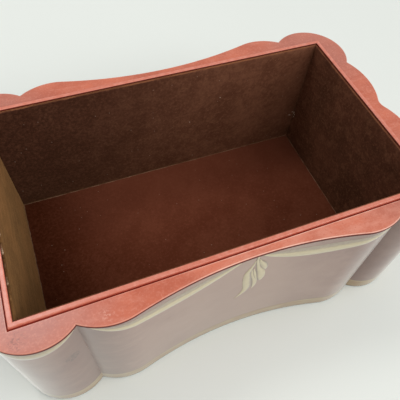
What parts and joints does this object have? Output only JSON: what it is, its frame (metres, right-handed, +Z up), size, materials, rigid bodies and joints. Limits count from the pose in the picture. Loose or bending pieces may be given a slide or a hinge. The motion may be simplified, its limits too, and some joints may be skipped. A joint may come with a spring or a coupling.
{
  "type": "jewellery box",
  "caption": "Open lined wooden jewellery casket with a cusped serpentine outline, a flat rim and a raised lip that locates a lift-off lid.",
  "frame": {"origin": "middle of the underside, on the surface that the box stands on", "axes": "+Z up, X along the long side, front facing -Y"},
  "size_m": [0.3572, 0.2232, 0.136],
  "materials": {
    "body_lacquer": "gloss lacquer over mauve-brown paint, with a gold band at the foot",
    "rim_paint": "satin brick-red paint",
    "gold_paint": "pale gold paint",
    "suede": "napped suede cloth",
    "felt": "pressed wool felt",
    "screw_steel": "zinc plated"
  },
  "bodies": {
    "root": {"base_felt": "felt", "base_board": "body_lacquer", "base_screws": "screw_steel", "front_wall": "body_lacquer", "back_wall": "body_lacquer", "left_wall": "body_lacquer", "right_wall": "body_lacquer", "front_left_column": "body_lacquer", "front_right_column": "body_lacquer", "back_left_column": "body_lacquer", "back_right_column": "body_lacquer", "rim": "rim_paint", "front_liner": "rim_paint", "back_liner": "rim_paint", "left_liner": "rim_paint", "right_liner": "rim_paint", "floor_lining": "suede", "front_lining": "suede", "back_lining": "suede", "left_lining": "suede", "right_lining": "suede"}
  },
  "joints": []
}
